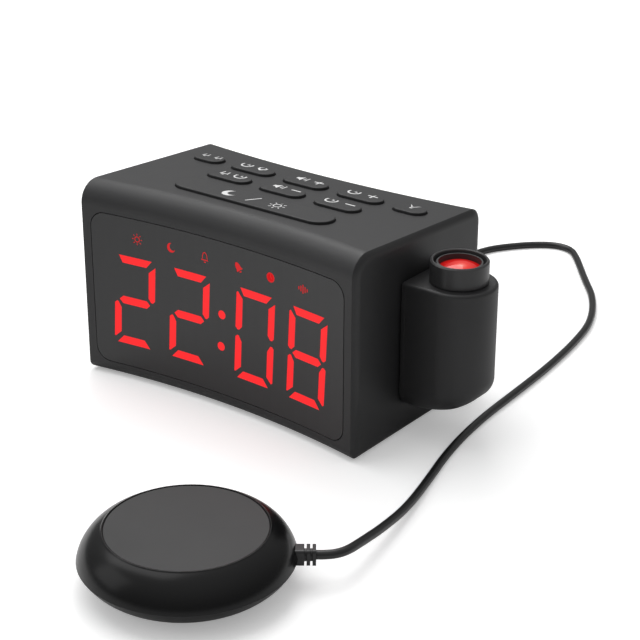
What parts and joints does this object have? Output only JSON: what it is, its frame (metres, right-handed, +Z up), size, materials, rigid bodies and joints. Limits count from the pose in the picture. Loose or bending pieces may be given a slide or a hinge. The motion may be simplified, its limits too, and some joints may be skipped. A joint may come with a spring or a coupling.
{
  "type": "projection alarm clock with bed shaker",
  "caption": "Table alarm clock with a large red digit display, keys and a snooze bar on top, a tilting projector pod on one side and a round vibrating pad on a cord.",
  "frame": {"origin": "on the table, midway between the clock's four feet", "axes": "display faces -Y, projector on the +X side, +Z up"},
  "size_m": [0.2153, 0.4434, 0.0977],
  "materials": {
    "case_plastic": "matte",
    "gloss_plastic": "gloss",
    "key_plastic": "matte",
    "dark_plastic": "matte",
    "ring_plastic": "satin",
    "acetal": "satin",
    "display_panel": "satin",
    "red_light": "matte",
    "unlit_segment": "matte",
    "red_lens": "gloss",
    "clear_lens": "gloss",
    "dark_glass": "gloss",
    "steel": "satin",
    "brass": "satin",
    "nickel_spring": "gloss",
    "rubber": "matte",
    "circuit_board": "satin",
    "led_chip": "gloss",
    "paper": "matte",
    "ferrite": "matte",
    "cell_case": "satin",
    "cord_pvc": "satin"
  },
  "bodies": {
    "clock": {"main_case": "case_plastic", "back_cover": "case_plastic", "case_screws": "steel", "rubber_feet": "rubber", "display_lens": "display_panel", "display_reflector": "dark_plastic", "segments_lit": "red_light", "segments_unlit": "unlit_segment", "indicator_lights": "red_light", "display_board": "circuit_board", "display_leds": "led_chip", "tact_switches": "dark_plastic", "key_board": "circuit_board", "speaker_frame": "steel", "speaker_cone": "paper", "speaker_magnet": "ferrite", "battery_tray": "dark_plastic", "batteries": "cell_case", "battery_contacts": "nickel_spring", "main_board": "circuit_board", "shaker_socket": "dark_plastic", "dc_socket": "dark_plastic", "usb_socket": "steel", "mode_switch_body": "dark_plastic", "pivot_bush": "acetal", "pad_top_shell": "gloss_plastic", "pad_bottom_shell": "gloss_plastic", "pad_top_disc": "case_plastic", "pad_base_ring": "rubber", "pad_screws": "steel", "vibration_motor": "steel", "motor_clamp": "steel", "pad_boot": "cord_pvc", "shaker_cord": "cord_pvc", "shaker_plug": "cord_pvc"},
    "projector": {"projector_housing": "case_plastic", "projector_cover": "case_plastic", "projector_screws": "steel", "pivot_clip": "steel", "friction_washer": "steel", "lamp_tube": "dark_plastic", "condenser_lens": "clear_lens", "image_slide": "dark_glass", "projector_board": "circuit_board", "projector_led": "led_chip"},
    "focus_ring": {"focus_ring": "ring_plastic"},
    "lens_barrel": {"lens_barrel": "ring_plastic", "projection_lens": "red_lens"},
    "snooze": {"snooze_bar": "key_plastic"},
    "key_rear_1": {"key_rear_1": "key_plastic"},
    "key_rear_2": {"key_rear_2": "key_plastic"},
    "key_rear_3": {"key_rear_3": "key_plastic"},
    "key_rear_4": {"key_rear_4": "key_plastic"},
    "key_rear_5": {"key_rear_5": "key_plastic"},
    "key_front_1": {"key_front_1": "key_plastic"},
    "key_front_2": {"key_front_2": "key_plastic"},
    "key_front_3": {"key_front_3": "key_plastic"},
    "mode_knob": {"mode_switch_knob": "key_plastic"},
    "battery_door": {"battery_door": "case_plastic"},
    "weight": {"eccentric_weight": "brass"}
  },
  "joints": [
    {"name": "projector_tilt", "type": "hinge", "parent": "clock", "child": "projector", "pos_m": [0.081, 0.0016, 0.0455], "axis": [1, 0, 0], "range_deg": [-90, 90]},
    {"name": "focus_turn", "type": "hinge", "parent": "projector", "child": "focus_ring", "pos_m": [0.1003, 0.0016, 0.08], "axis": [0, 0, 1], "range_deg": [-90, 90]},
    {"name": "focus_slide", "type": "slide", "parent": "projector", "child": "lens_barrel", "axis": [0, 0, 1], "range_m": [-0.0009, 0.0009]},
    {"name": "snooze_press", "type": "slide", "parent": "clock", "child": "snooze", "axis": [0, -0.0553, -0.9985], "range_m": [0, 0.0006], "stiffness_N_per_m": 2000, "springref_m": -0.0002},
    {"name": "key_rear_1_press", "type": "slide", "parent": "clock", "child": "key_rear_1", "axis": [0, -0.0553, -0.9985], "range_m": [0, 0.0006], "stiffness_N_per_m": 2000, "springref_m": -0.0002},
    {"name": "key_rear_2_press", "type": "slide", "parent": "clock", "child": "key_rear_2", "axis": [0, -0.0553, -0.9985], "range_m": [0, 0.0006], "stiffness_N_per_m": 2000, "springref_m": -0.0002},
    {"name": "key_rear_3_press", "type": "slide", "parent": "clock", "child": "key_rear_3", "axis": [0, -0.0553, -0.9985], "range_m": [0, 0.0006], "stiffness_N_per_m": 2000, "springref_m": -0.0002},
    {"name": "key_rear_4_press", "type": "slide", "parent": "clock", "child": "key_rear_4", "axis": [0, -0.0553, -0.9985], "range_m": [0, 0.0006], "stiffness_N_per_m": 2000, "springref_m": -0.0002},
    {"name": "key_rear_5_press", "type": "slide", "parent": "clock", "child": "key_rear_5", "axis": [0, -0.0553, -0.9985], "range_m": [0, 0.0006], "stiffness_N_per_m": 2000, "springref_m": -0.0002},
    {"name": "key_front_1_press", "type": "slide", "parent": "clock", "child": "key_front_1", "axis": [0, -0.0553, -0.9985], "range_m": [0, 0.0006], "stiffness_N_per_m": 2000, "springref_m": -0.0002},
    {"name": "key_front_2_press", "type": "slide", "parent": "clock", "child": "key_front_2", "axis": [0, -0.0553, -0.9985], "range_m": [0, 0.0006], "stiffness_N_per_m": 2000, "springref_m": -0.0002},
    {"name": "key_front_3_press", "type": "slide", "parent": "clock", "child": "key_front_3", "axis": [0, -0.0553, -0.9985], "range_m": [0, 0.0006], "stiffness_N_per_m": 2000, "springref_m": -0.0002},
    {"name": "mode_switch", "type": "slide", "parent": "clock", "child": "mode_knob", "axis": [1, 0, 0], "range_m": [-0.0024, 0.0024]},
    {"name": "battery_door", "type": "hinge", "parent": "clock", "child": "battery_door", "pos_m": [-0.037, 0.04315, 0.01035], "axis": [-1, 0, 0], "range_deg": [0, 90]},
    {"name": "weight_spin", "type": "hinge", "parent": "clock", "child": "weight", "pos_m": [0.0855, -0.164, 0.0118], "axis": [0.7949, 0.6067, 0], "continuous": true}
  ],
  "couplings": [
    {"joint": "focus_turn", "follows": "focus_slide", "rad_per_m": 1745}
  ]
}
